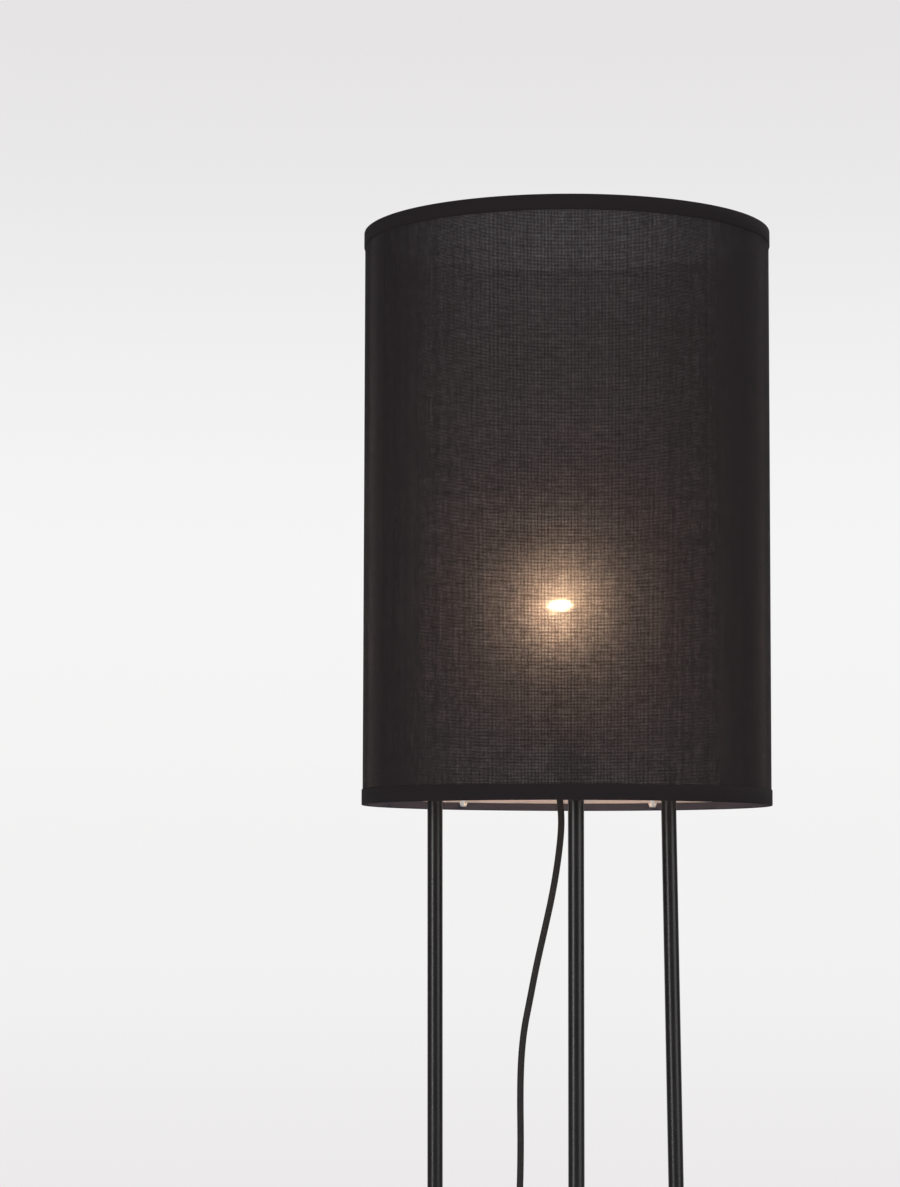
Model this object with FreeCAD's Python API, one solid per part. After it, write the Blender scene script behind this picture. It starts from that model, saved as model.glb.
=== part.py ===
import FreeCAD, Part
import math
import os

os.makedirs("parts", exist_ok=True)

Vec = FreeCAD.Vector
up = Vec(0, 0, 1)

# Clearances shared by the whole lamp, in millimetres like every length here
fit_gap = 0.05       # a thread or plug in its hole
hole_gap = 0.3       # a screw in its through hole
seat_gap = 0.3       # a loose piece on what carries it
layer_gap = 0.1      # glued layers of the shade
cut_over = 1.0       # how far a hole is cut past its face
same_point = 0.003   # two corners nearer than this are one
arc_share = 0.45     # of the shorter run beside it, taken by the arc at each point of a route

# Base: a round steel plate on a felt disc
plate_radius = 170.0
plate_thickness = 8.0
plate_round = 2.5
plate_break = 0.8
felt_edge = 5.0        # from the felt's rim to the plate's
felt_radius = plate_radius - felt_edge
felt_thickness = 2.0
felt_hole_radius = 9.0

# Legs: three round steel tubes, slightly splayed, twisted and leaning
leg_radius = 8.0
leg_wall = 1.5
leg_height = 1096.0
foot_edge = 20.0     # from a foot's middle to the plate's edge
foot_circle_radius = plate_radius - foot_edge
foot_azimuth = 3.8
head_circle_radius = 142.0
head_azimuth = 6.7
head_offset_x = -7.4
leg_names = ["leg_front", "leg_right", "leg_left"]
leg_azimuths = {name: i * 360 / len(leg_names) for i, name in enumerate(leg_names)}
leg_plug_length = 24.0

# Countersunk screws: a shank, a conical head and a hexagon socket
foot_screw = {"shank_radius": 3.0, "length": 26.0, "head_radius": 6.0, "head_depth": 3.3,
              "socket_radius": 2.3, "socket_depth": 2.0, "sunk": 0.2}
head_screw = {"shank_radius": 2.5, "length": 18.0, "head_radius": 4.8, "head_depth": 2.5,
              "socket_radius": 1.7, "socket_depth": 1.5, "sunk": 0.2}

# Star bracket on the leg tops, with the pins that the shade drops over
star_thickness = 4.0
star_hub_radius = 26.0
star_arm_width = 16.0
pin_circle_radius = 104.0
pin_radius = 4.2
pin_height = 16.0
pin_round = 1.2
pin_rivet_radius = 2.5

# Lampholder, stacked on the star's hub
nipple_radius = 5.0
nipple_bore_radius = 3.7
nipple_below = 15.0
nipple_in_cap = 8.0
nut_across_flats = 15.0
nut_thickness = 4.0
grip_radius = 7.0
grip_tip_radius = 4.6
grip_body_height = 9.0
grip_taper_height = 11.0
grip_thread_depth = 8.0
sleeve_radius = 7.0
sleeve_height = 30.0
cap_radius = 20.0
cap_neck_radius = 9.0
cap_neck_height = 6.0
cap_shoulder_height = 10.0
cap_height = 26.0
cap_wall = 3.5
cap_floor = 3.0
skirt_height = 36.0
skirt_wall = 1.8
skirt_lip = 1.2
skirt_lip_height = 1.6
core_height = 15.0
core_groove_radius = 11.5
core_groove_width = 1.2
core_groove_depth = 2.0
shell_wall = 0.4
shell_height = 19.0
leaf_half_length = 7.0
leaf_width = 5.0
leaf_thickness = 0.4
leaf_rise = 2.7

# Bulb: clear pear-shaped glass on a screw cap
bulb_cap_radius = 13.05
bulb_cap_wall = 0.5
bulb_cap_height = 20.0
bulb_cap_chamfer = 1.6
bulb_cap_taper = 2.5
bulb_contact_radius = 4.5
bulb_contact_height = 1.2
bulb_insulator_height = 4.0
bulb_glass_radius = 30.0
bulb_glass_wall = 0.8
bulb_neck_radius = 12.3
bulb_neck_above_cap = 4.0
bulb_light_height = 75.0
bulb_stem_flange = 1.2
bulb_stem_in_cap = 6.5
bulb_stem_radius = 6.0
bulb_stem_tip_radius = 2.2
bulb_stem_shoulder = 16.0
bulb_stem_height = 44.0
lead_radius = 0.4
lead_foot_spread = 1.6
filament_radius = 0.6
filament_half_span = 13.0
filament_rise = 3.5
filament_tilt = 7.0

# Shade: a straight drum of cotton glued to a white film, with folded trims round wire rings
shade_radius = 210.0
shade_height = 595.0
shade_drop = 55.0
fabric_thickness = 0.6
film_thickness = 0.5
trim_thickness = 0.9
trim_height = 16.0
trim_fold_height = 8.0
trim_fold_wall = 0.4
trim_bottom_wall = 0.6
ring_wire_radius = 2.0
ring_inset = 5.2
eyelet_radius = 10.0
eyelet_thickness = 3.0
spider_wire_radius = 2.0
spider_azimuth = 3.0
spider_spread = 30.0
spider_weld = 0.3
notch_width = 8.0

# Cord: its radius, and its route by hand from the lampholder to the foot switch
cord_radius = 3.4
switch_x = -62.0
switch_y = 269.0
switch_cord_z = 5.6
drop_route = [
    (-7.4, 0, 1079),
    (-7.4, 0, 1064),
    (-4.8, 0.4, 1038),
    (-8.2, 0, 1003),
    (-14.2, -0.5, 966),
    (-21.9, 0, 931),
    (-30.9, 1, 892),
    (-37.6, 1, 857),
    (-44.8, 0.5, 821),
    (-47.8, 1, 775),
    (-46.6, 2.5, 690),
    (-50.2, 5, 606),
    (-48, 7, 520),
    (-49.8, 8.5, 433),
    (-50.6, 7, 346),
    (-47.8, 8, 260),
    (-48.6, 10.5, 176),
    (-49.2, 14.5, 102),
    (-49.6, 23, 50),
    (-50.5, 50, 19.5),
    (-53, 91, 14.4),
    (-57.6, 127, 15.4),
    (-60.2, 153, 21.5),
    (-61.4, 176, 15),
    (-62, 197, 5.6),
    (-62, 218, 5.6),
]
tail_route = [
    (0, 0, 0),
    (0, -8, 0),
    (1, -19, -1),
    (5.5, -33, -2.4),
    (17.5, -46, -4.1),
    (35, -52.4, -5.3),
    (53, -52.4, -5.3),
]

# Coil: the spare lead, wound in two layers and tied
coil_half_turns = 4
coil_outer_radius = 47.0
coil_pitch = 7.7
coil_inner_step = 5.9
coil_layer_rise = 7.3
coil_lead_in = 30.0
coil_straight_end = 7.0
coil_rest_z = 4.9
tie_width = 10.0
tie_wall = 1.1
tie_gap = 0.3

# Foot switch: two shells, a push button on a spring and a contact block
switch_length = 74.0
switch_width = 44.0
switch_lower_height = 11.0
switch_upper_height = 12.0
switch_wall = 2.0
switch_round = 3.5
button_radius = 13.0
button_stand = 3.5
button_round = 1.5
button_flange = 2.4
button_flange_height = 1.5
button_stem_radius = 3.0
button_travel = 3.0
block_width = 20.0
block_length = 26.0
block_height = 8.0
block_groove = 2.0
spring_radius = 5.2
spring_wire_radius = 0.5
spring_turns = 4
relief_radius = 4.3
relief_tip_radius = 3.8
relief_length = 14.0
relief_inside = 4.0
boss_radius = 3.4
boss_offset = 27.0
case_screw_radius = 1.4
case_screw_length = 14.0
case_screw_head_radius = 2.7
case_screw_head_height = 1.2

# Plug: a flat two-pin body with a tapered strain relief
plug_length = 34.0
plug_face_width = 35.0
plug_tail_width = 16.0
plug_thickness = 13.8
plug_cheek_length = 8.0
plug_waist_length = 20.0
plug_waist_width = 24.0
plug_round = 1.6
plug_relief_length = 18.0
plug_relief_radius = 5.6
plug_relief_tip_radius = 3.9
plug_pin_radius = 2.0
plug_pin_pitch = 19.0
plug_pin_length = 19.0
plug_pin_root = 10.0
plug_pin_round = 0.8

# Heights that follow from the stack
plate_z = felt_thickness
foot_z = plate_z + plate_thickness
star_z = foot_z + leg_height
head_z = star_z + star_thickness
shade_bottom_z = head_z - shade_drop
shade_top_z = shade_bottom_z + shade_height
holder_z = head_z + sleeve_height
core_z = holder_z + cap_height
shell_z = core_z + core_height
bulb_z = shell_z + leaf_rise + seat_gap
light_z = bulb_z + bulb_light_height
head = Vec(head_offset_x, 0, 0)
axis = Vec(0, 0, 0)


# A point at a radius and an azimuth, counted from the front towards +X
def bearing(radius, azimuth, z, centre=axis):
    angle = math.radians(azimuth)
    return Vec(centre.x + radius * math.sin(angle), centre.y - radius * math.cos(angle), z)


# A face bounded by lines and arcs; a step is a point, or a pair of middle and end for an arc
def bounded(steps, place):
    edges = []
    start = place(*steps[0])
    at = start
    for step in steps[1:] + [steps[0]]:
        if isinstance(step[0], tuple):
            middle, end = place(*step[0]), place(*step[1])
            edges.append(Part.Arc(at, middle, end).toShape())
        else:
            end = place(*step)
            if end.distanceToPoint(at) < same_point:
                continue
            edges.append(Part.LineSegment(at, end).toShape())
        at = end
    return Part.Face(Part.Wire(edges))


# A profile of (radius, height) turned round an upright axis
def turned(steps, centre=axis):
    face = bounded(steps, lambda r, z: Vec(centre.x + r, centre.y, z))
    return face.revolve(centre, up, 360)


# An upright drum, or a tube where it has an inner radius
def drum(radius, low, high, centre=axis, inner=0):
    solid = Part.makeCylinder(radius, high - low, Vec(centre.x, centre.y, low), up)
    if inner:
        below = Vec(centre.x, centre.y, low - cut_over)
        tool = Part.makeCylinder(inner, high - low + 2 * cut_over, below, up)
        solid = solid.cut(tool)
    return solid


# An upright hexagon prism, given by the radius inside its flats
def hexagon(flat_radius, low, high, centre):
    corner = flat_radius / math.cos(math.radians(30))
    points = [bearing(corner, 60 * i, low, centre) for i in range(6)]
    return Part.Face(Part.makePolygon(points + points[:1])).extrude(up * (high - low))


# A plate with half-round ends, long along Y
def stadium(length, width, low, high, centre):
    r = width / 2
    e = length / 2 - r
    steps = [(-r, -e), ((0, -e - r), (r, -e)), (r, e), ((0, e + r), (-r, e))]
    face = bounded(steps, lambda x, y: Vec(centre.x + x, centre.y + y, low))
    return face.extrude(up * (high - low))


# A round wire or tube along a path
def swept(path, radius):
    start = path.Edges[0]
    point = start.valueAt(start.FirstParameter)
    tangent = start.tangentAt(start.FirstParameter)
    circle = Part.Wire([Part.makeCircle(radius, point, tangent)])
    return path.makePipeShell([circle], True, False)


# Straight runs joined by tangent arcs, each as large as its two runs allow
def routed(points):
    edges = []
    radii = []
    at = points[0]
    for before, here, after in zip(points, points[1:], points[2:]):
        back, on = (before - here), (after - here)
        shorter = min(back.Length, on.Length)
        back.normalize()
        on.normalize()
        half_turn = (math.pi - back.getAngle(on)) / 2
        reach = arc_share * shorter
        radius = reach / math.tan(half_turn)
        first, last = here + back * reach, here + on * reach
        inward = (back + on).normalize()
        middle = here + inward * (radius / math.cos(half_turn) - radius)
        edges.append(Part.LineSegment(at, first).toShape())
        edges.append(Part.Arc(first, middle, last).toShape())
        radii.append(radius)
        at = last
    edges.append(Part.LineSegment(at, points[-1]).toShape())
    return Part.Wire(edges), radii


# Half turns from side to side of a winding, with level tangents where they meet
def wound(ends):
    edges = []
    for i, (start, end) in enumerate(zip(ends, ends[1:])):
        side = 1 if i % 2 == 0 else -1
        middle = (start + end) * 0.5 + Vec(0, side * (end - start).Length / 2, 0)
        edges.append(Part.Arc(start, middle, end).toShape())
    return edges


# The least gap of a round winding to itself, measured on points along it
def self_gap(path, radius):
    count = int(path.Length / radius)
    points = path.discretize(Number=count)
    step = path.Length / (count - 1)
    apart = int(math.pi * 2 * radius / step) + 1
    nearest = min(a.distanceToPoint(b) for i, a in enumerate(points) for b in points[i + apart:])
    return nearest - 2 * radius


def check_tube(name, solid, path, radius):
    share = solid.Volume / (math.pi * radius * radius * path.Length)
    print(name, "length", round(path.Length, 1), "volume to section x length", round(share, 4))


def fused(shapes):
    solid = shapes[0]
    if len(shapes) > 1:
        solid = shapes[0].multiFuse(shapes[1:]).removeSplitter()
    return solid


nodes = {}


def add(name, *shapes):
    solids = [solid for shape in shapes for solid in shape.Solids]
    nodes[name] = Part.makeCompound(solids) if len(solids) > 1 else solids[0]


# Where each leg stands on the plate and meets the star
feet = {name: bearing(foot_circle_radius, foot_azimuth + turn, foot_z)
        for name, turn in leg_azimuths.items()}
tops = {name: bearing(head_circle_radius, head_azimuth + turn, star_z, head)
        for name, turn in leg_azimuths.items()}


# A bar or tube along a leg between two heights, with level ends
def along_leg(name, low, high, radius, inner=0):
    slope = (tops[name] - feet[name]) / leg_height
    start = feet[name] + slope * (low - foot_z)
    face = Part.Face(Part.Wire([Part.makeCircle(radius, start, up)]))
    if inner:
        hole = Part.Face(Part.Wire([Part.makeCircle(inner, start, up)]))
        face = face.cut(hole).Faces[0]
    return face.extrude(slope * (high - low))


# A countersunk screw along +Z or -Z from the outer face of its head
def countersunk(size, point, direction):
    r, length = size["shank_radius"], size["length"]
    cone = size["head_radius"] - r
    edge = size["head_depth"] - cone
    steps = [(0, 0), (r + cone, 0), (r + cone, edge), (r, edge + cone), (r, length), (0, length)]
    screw = turned(steps)
    socket = hexagon(size["socket_radius"], -cut_over, size["socket_depth"], axis)
    screw = screw.cut(socket)
    if direction < 0:
        screw.rotate(axis, Vec(1, 0, 0), 180)
    screw.translate(point + up * size["sunk"] * direction)
    return screw


# The hole that a countersunk screw sits in, with room round its shank and head
def screw_hole(size, point, direction, depth):
    r, wide = size["shank_radius"] + hole_gap, size["head_radius"] + hole_gap
    flat = size["sunk"] + size["head_depth"] - (size["head_radius"] - size["shank_radius"])
    cone = wide - r
    steps = [(0, -cut_over), (wide, -cut_over), (wide, flat), (r, flat + cone), (r, depth), (0, depth)]
    tool = turned(steps)
    if direction < 0:
        tool.rotate(axis, Vec(1, 0, 0), 180)
    tool.translate(point)
    return tool


def make_base():
    felt = drum(felt_radius, 0, felt_thickness)
    edge = math.sqrt(0.5)
    low, high, r = plate_z, foot_z, plate_radius
    corner = (r - plate_round + plate_round * edge, high - plate_round + plate_round * edge)
    plate = turned([(0, low), (r - plate_break, low), (r, low + plate_break), (r, high - plate_round),
                    (corner, (r - plate_round, high)), (0, high)])
    screws = []
    for name in leg_azimuths:
        at = Vec(feet[name].x, feet[name].y, plate_z)
        felt = felt.cut(drum(felt_hole_radius, -cut_over, felt_thickness + cut_over, at))
        plate = plate.cut(screw_hole(foot_screw, at, 1, plate_thickness + cut_over))
        screws.append(countersunk(foot_screw, at, 1))
    add("base_felt", felt)
    add("base_plate", plate)
    add("base_screws", *screws)


def make_legs():
    plug_radius = leg_radius - leg_wall - fit_gap
    low_plugs, high_plugs, screws = [], [], []
    for name in leg_azimuths:
        add(name, along_leg(name, foot_z, star_z, leg_radius, leg_radius - leg_wall))
        low_end, high_start = foot_z + leg_plug_length, star_z - leg_plug_length
        low = along_leg(name, foot_z, low_end, plug_radius)
        bore = foot_screw["shank_radius"] + fit_gap
        thread = drum(bore, foot_z - cut_over, low_end + cut_over, feet[name])
        low_plugs.append(low.cut(thread))
        high = along_leg(name, high_start, star_z, plug_radius)
        bore = head_screw["shank_radius"] + fit_gap
        thread = drum(bore, high_start - cut_over, star_z + cut_over, tops[name])
        high_plugs.append(high.cut(thread))
        screws.append(countersunk(head_screw, Vec(tops[name].x, tops[name].y, head_z), -1))
    add("leg_bottom_plugs", *low_plugs)
    add("leg_top_plugs", *high_plugs)
    add("leg_top_screws", *screws)


def make_star():
    pieces = [drum(star_hub_radius, star_z, head_z, head)]
    for name, turn in leg_azimuths.items():
        reach = head_circle_radius
        half = star_arm_width / 2
        arm = Part.makeBox(star_arm_width, reach, star_thickness, Vec(-half, -reach, star_z))
        arm.rotate(axis, up, head_azimuth + turn)
        arm.translate(head)
        pieces.append(arm)
        pieces.append(drum(half, star_z, head_z, tops[name]))
    star = fused(pieces)
    star = star.cut(drum(nipple_radius + fit_gap, star_z - cut_over, head_z + cut_over, head))
    pins = []
    for name, turn in leg_azimuths.items():
        screw_top = Vec(tops[name].x, tops[name].y, head_z)
        star = star.cut(screw_hole(head_screw, screw_top, -1, star_thickness + cut_over))
        at = bearing(pin_circle_radius, head_azimuth + turn, star_z, head)
        star = star.cut(drum(pin_rivet_radius + fit_gap, star_z - cut_over, head_z + cut_over, at))
        top = head_z + pin_height
        pins.append(turned([(0, star_z), (pin_rivet_radius, star_z), (pin_rivet_radius, head_z),
                            (pin_radius, head_z), (pin_radius, top - pin_round),
                            (pin_radius - pin_round, top), (0, top)], at))
    add("star_bracket", star)
    add("shade_pins", *pins)


def make_holder():
    low = star_z - nipple_below
    add("nipple", drum(nipple_radius, low, holder_z + nipple_in_cap, head, nipple_bore_radius))
    nut = hexagon(nut_across_flats / 2, star_z - nut_thickness, star_z, head)
    thread = drum(nipple_radius + fit_gap, star_z - nut_thickness - cut_over, star_z + cut_over, head)
    add("nipple_nut", nut.cut(thread))
    top = low + grip_thread_depth
    waist = top - grip_body_height
    add("cord_grip", turned([(0, waist - grip_taper_height), (grip_tip_radius, waist - grip_taper_height),
                             (grip_radius, waist), (grip_radius, top), (nipple_radius + fit_gap, top),
                             (nipple_radius + fit_gap, low), (0, low)], head))
    add("stem_sleeve", drum(sleeve_radius, head_z, holder_z, head, nipple_radius + fit_gap))

    z, r, bore = holder_z, cap_radius, nipple_radius + fit_gap
    neck = z + cap_neck_height
    shoulder = neck + cap_shoulder_height
    add("holder_cap", turned([(bore, z), (cap_neck_radius, z), (cap_neck_radius, neck), (r, shoulder),
                              (r, core_z), (r - cap_wall, core_z), (r - cap_wall, shoulder + cap_floor),
                              (cap_neck_radius, neck + cap_floor), (bore, neck + cap_floor)], head))
    top, inner = core_z + skirt_height, r - skirt_wall
    lip_low = top - skirt_lip_height
    add("holder_skirt", turned([(inner, core_z), (r, core_z), (r, top), (inner - skirt_lip, top),
                                (inner - skirt_lip, lip_low), (inner, lip_low - skirt_lip)], head))
    core = drum(inner - seat_gap, core_z, shell_z, head)
    groove = drum(core_groove_radius, shell_z - core_groove_depth, shell_z + cut_over, head,
                  core_groove_radius - core_groove_width)
    add("holder_core", core.cut(groove))
    shell_inner = bulb_cap_radius + seat_gap
    add("screw_shell", drum(shell_inner + shell_wall, shell_z, shell_z + shell_height, head, shell_inner))

    a, t, z = leaf_half_length, leaf_thickness, shell_z
    crest = z + leaf_rise
    face = bounded([(-a, z), ((0, crest), (a, z)), (a - 2 * t, z), ((0, crest - t), (-a + 2 * t, z))],
                   lambda x, y: Vec(head.x + x, -leaf_width / 2, y))
    add("centre_contact", face.extrude(Vec(0, leaf_width, 0)))


# The point where a line from the neck touches the round of the bulb
def neck_tangent(radius, neck_radius, neck_z):
    dx, dz = neck_radius, neck_z - light_z
    distance = math.hypot(dx, dz)
    turn = math.atan2(dz, dx) + math.acos(radius / distance)
    return radius * math.cos(turn), light_z + radius * math.sin(turn), turn


def make_bulb():
    contact_top = bulb_z + bulb_contact_height
    cap_low = contact_top + bulb_insulator_height
    cap_top = cap_low + bulb_cap_height
    r, t = bulb_cap_radius, bulb_cap_wall
    floor_radius = r - bulb_cap_taper
    add("bulb_contact", drum(bulb_contact_radius, bulb_z, contact_top, head))
    bevel_top = cap_low + bulb_cap_chamfer
    add("bulb_insulator", turned([(0, contact_top), (bulb_contact_radius, contact_top),
                                  (floor_radius, cap_low), (0, cap_low)], head))
    add("bulb_cap", turned([(0, cap_low), (floor_radius, cap_low), (r, bevel_top), (r, cap_top),
                            (r - t, cap_top), (r - t, bevel_top + t), (floor_radius - t, cap_low + t),
                            (0, cap_low + t)], head))

    neck_low = cap_low + bulb_stem_in_cap
    neck_top = cap_top + bulb_neck_above_cap
    outer, inner = [], []
    for side, wall in ((outer, 0), (inner, bulb_glass_wall)):
        radius, neck = bulb_glass_radius - wall, bulb_neck_radius - wall
        x, z, turn = neck_tangent(radius, neck, neck_top)
        half = (turn + math.pi / 2) / 2
        side += [(neck, neck_low), (neck, neck_top), (x, z),
                 (radius * math.cos(half), light_z + radius * math.sin(half)), (0, light_z + radius)]
    add("bulb_glass", turned([outer[0], outer[1], outer[2], (outer[3], outer[4]),
                              inner[4], (inner[3], inner[2]), inner[1], inner[0]], head))

    low = neck_low - bulb_stem_flange
    shoulder, top = neck_low + bulb_stem_shoulder, neck_low + bulb_stem_height
    tip = bulb_stem_tip_radius
    inside = bulb_neck_radius - bulb_glass_wall - seat_gap
    add("bulb_stem", turned([(0, low), (bulb_neck_radius, low), (bulb_neck_radius, neck_low),
                             (inside, neck_low), (bulb_stem_radius, shoulder),
                             (tip, shoulder + bulb_stem_radius), (tip, top - tip),
                             ((tip + tip / 2, top - tip / 2), (tip, top)), (0, top)], head))

    tilt = math.radians(filament_tilt)
    reach = Vec(filament_half_span * math.cos(tilt), 0, filament_half_span * math.sin(tilt))
    ends = [Vec(head.x, 0, light_z) + reach * side for side in (-1, 1)]
    middle = (ends[0] + ends[1]) * 0.5 + Vec(0, 0, filament_rise)
    add("filament", swept(Part.Wire([Part.Arc(ends[0], middle, ends[1]).toShape()]), filament_radius))
    leads = []
    for side, end in zip((-1, 1), ends):
        foot = Vec(head.x + side * lead_foot_spread, 0, top - tip)
        leads.append(Part.makeCylinder(lead_radius, (end - foot).Length, foot, end - foot))
    add("lead_wires", *leads)


def make_shade():
    low, high = shade_bottom_z, shade_top_z
    wall = trim_bottom_wall + layer_gap
    film_radius = shade_radius - fabric_thickness - layer_gap
    film_inner = film_radius - film_thickness
    add("shade_fabric", drum(shade_radius, low + wall, high - wall, axis, shade_radius - fabric_thickness))
    add("shade_film", drum(film_radius, low + wall, high - wall, axis, film_inner))

    ring_centre = film_inner - layer_gap - ring_wire_radius
    fold_outer = ring_centre - ring_wire_radius - layer_gap
    fold_inner = fold_outer - trim_fold_wall
    band_inner = shade_radius + layer_gap
    band_outer = band_inner + trim_thickness
    trims = []
    for start, way in ((low, 1), (high, -1)):
        edge, rim = start + way * trim_bottom_wall, start + way * trim_height
        fold = start + way * trim_fold_height
        steps = [(fold_inner, start), (band_outer, start), (band_outer, rim), (band_inner, rim),
                 (band_inner, edge), (fold_outer, edge), (fold_outer, fold), (fold_inner, fold)]
        trims.append(turned(steps))
        ring_z = start + way * ring_inset
        circle = Part.Wire([Part.makeCircle(ring_wire_radius, Vec(ring_centre, 0, ring_z), Vec(0, 1, 0))])
        add("bottom_ring" if way > 0 else "top_ring", Part.Face(circle).revolve(axis, up, 360))
    bottom_ring_z = low + ring_inset

    eyelet_low = head_z + seat_gap
    weld_z = eyelet_low + eyelet_thickness + spider_wire_radius - spider_weld
    spiders = []
    for turn in leg_azimuths.values():
        eye = bearing(pin_circle_radius, head_azimuth + turn, eyelet_low, head)
        pieces = [drum(eyelet_radius, eyelet_low, eyelet_low + eyelet_thickness, eye)]
        for side in (-1, 1):
            azimuth = spider_azimuth + turn + side * spider_spread
            foot = bearing(ring_centre, azimuth, bottom_ring_z)
            towards = Vec(foot.x - eye.x, foot.y - eye.y, 0).normalize()
            start = Vec(eye.x, eye.y, weld_z) + towards * (pin_radius + hole_gap + spider_wire_radius)
            pieces.append(Part.makeCylinder(spider_wire_radius, (foot - start).Length, start, foot - start))
            corner = Vec(-notch_width / 2, -fold_outer - ring_wire_radius, bottom_ring_z - ring_wire_radius)
            notch = Part.makeBox(notch_width, 2 * ring_inset, 2 * trim_fold_height, corner)
            notch.rotate(axis, up, azimuth)
            trims[0] = trims[0].cut(notch.common(drum(fold_outer + layer_gap / 2, low, low + trim_height)))
        hole_top = weld_z + 2 * spider_wire_radius + cut_over
        hole = drum(pin_radius + hole_gap, eyelet_low - cut_over, hole_top, eye)
        spiders.append(fused(pieces).cut(hole))
    add("trim_bottom", trims[0])
    add("trim_top", trims[1])
    add("shade_spider", *spiders)


def make_cord():
    path, radii = routed([Vec(*point) for point in drop_route])
    print("drop radii", [round(radius) for radius in radii])
    drop = swept(path, cord_radius)
    check_tube("cord_drop", drop, path, cord_radius)
    add("cord_drop", drop)

    start_y = switch_y + switch_length / 2 + relief_length
    centre = Vec(switch_x + coil_outer_radius, start_y + coil_lead_in, coil_rest_z)
    radii, heights = [coil_outer_radius], [0]
    for i in range(1, coil_half_turns + 1):
        radii.append(coil_outer_radius - i * coil_pitch / 2)
        heights.append(0)
    radii[-1] = radii[-2] - coil_inner_step
    radii += radii[::-1]
    heights += [coil_layer_rise] * (coil_half_turns + 1)
    ends = [centre + Vec(-r if i % 2 == 0 else r, 0, h) for i, (r, h) in enumerate(zip(radii, heights))]
    lead = [Vec(switch_x, start_y, switch_cord_z), Vec(switch_x, start_y + coil_lead_in / 3, switch_cord_z),
            Vec(switch_x, start_y + coil_lead_in * 2 / 3, coil_rest_z), ends[0]]
    lead_path, lead_radii = routed(lead)
    away = ends[-1] - Vec(0, coil_straight_end, 0)
    path = Part.Wire(lead_path.Edges + wound(ends) + [Part.LineSegment(ends[-1], away).toShape()])
    print("coil lead radii", [round(radius) for radius in lead_radii])
    print("coil radii", [round(radius, 1) for radius in radii])
    print("least gap of the coil to itself", round(self_gap(path, cord_radius), 2))
    coil = swept(path, cord_radius)
    check_tube("cord_coil", coil, path, cord_radius)
    add("cord_coil", coil)

    path, radii = routed([away + Vec(*point) for point in tail_route])
    print("tail radii", [round(radius) for radius in radii])
    tail = swept(path, cord_radius)
    check_tube("cord_tail", tail, path, cord_radius)
    add("cord_tail", tail)

    return centre, away + Vec(*tail_route[-1])


def make_switch():
    centre = Vec(switch_x, switch_y, 0)
    top = switch_lower_height + switch_upper_height
    ceiling = top - switch_wall
    inner_length, inner_width = switch_length - 2 * switch_wall, switch_width - 2 * switch_wall
    lower = stadium(switch_length, switch_width, 0, switch_lower_height, centre)
    lower = lower.cut(stadium(inner_length, inner_width, switch_wall, switch_lower_height + cut_over, centre))
    upper = stadium(switch_length, switch_width, switch_lower_height, top, centre)
    rim = [edge for edge in upper.Edges if abs(edge.BoundBox.ZMin - top) < fit_gap]
    upper = upper.makeFillet(switch_round, [edge for edge in rim if abs(edge.BoundBox.ZMax - top) < fit_gap])
    upper = upper.cut(stadium(inner_length, inner_width, switch_lower_height - cut_over, ceiling, centre))
    upper = upper.cut(drum(button_radius + seat_gap, ceiling - cut_over, top + cut_over, centre))

    reliefs, bosses, screws = [], [], []
    for way in (-1, 1):
        at = centre + Vec(0, way * boss_offset, 0)
        bosses.append(drum(boss_radius, switch_wall, ceiling, at))
        head_top = case_screw_head_height + fit_gap
        wide, end = case_screw_head_radius, case_screw_length
        screws.append(turned([(0, fit_gap), (wide, fit_gap), (wide, head_top), (case_screw_radius, head_top),
                              (case_screw_radius, end), (0, end)], at))
        lower = lower.cut(drum(case_screw_head_radius + hole_gap, -cut_over, head_top, at))
        lower = lower.cut(drum(case_screw_radius + hole_gap, 0, switch_wall + cut_over, at))
        wall_y = way * (switch_length / 2 - relief_inside)
        length = relief_length + relief_inside
        relief = Part.makeCone(relief_radius, relief_tip_radius, length,
                               centre + Vec(0, wall_y, switch_cord_z), Vec(0, way, 0))
        hole = Part.makeCylinder(relief_radius + fit_gap, relief_inside + cut_over,
                                 centre + Vec(0, wall_y, switch_cord_z), Vec(0, way, 0))
        lower = lower.cut(hole)
        reliefs.append(relief)
    upper = fused([upper] + bosses)
    for way in (-1, 1):
        at = centre + Vec(0, way * boss_offset, 0)
        upper = upper.cut(drum(case_screw_radius + fit_gap, 0, case_screw_length + cut_over, at))
    add("switch_lower_shell", lower)
    add("switch_upper_shell", upper)
    add("switch_reliefs", *reliefs)
    add("switch_screws", *screws)

    block = Part.makeBox(block_width, block_length, block_height,
                         centre + Vec(-block_width / 2, -block_length / 2, switch_wall))
    block_top = switch_wall + block_height
    channel = Part.makeBox(block_groove, block_length + 2 * cut_over, block_groove,
                           centre + Vec(-block_groove / 2 - block_width / 4, -block_length / 2 - cut_over,
                                        block_top - block_groove))
    other = channel.copy()
    other.translate(Vec(block_width / 2, 0, 0))
    add("switch_block", block.cut(channel).cut(other))

    flange_top = ceiling - seat_gap
    flange_low = flange_top - button_flange_height
    crown = top + button_stand
    wide = button_radius + button_flange
    stem_low = block_top + button_travel + seat_gap
    add("switch_button", turned([(0, stem_low), (button_stem_radius, stem_low),
                                 (button_stem_radius, flange_low), (wide, flange_low),
                                 (wide, flange_top), (button_radius, flange_top),
                                 (button_radius, crown - button_round), (button_radius - button_round, crown),
                                 (0, crown)], centre))
    low = block_top + spring_wire_radius + fit_gap
    rise = (flange_low - spring_wire_radius - fit_gap - low) / (2 * spring_turns)
    ends = [centre + Vec(-spring_radius if i % 2 == 0 else spring_radius, 0, low + i * rise)
            for i in range(2 * spring_turns + 1)]
    add("switch_spring", swept(Part.Wire(wound(ends)), spring_wire_radius))


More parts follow.
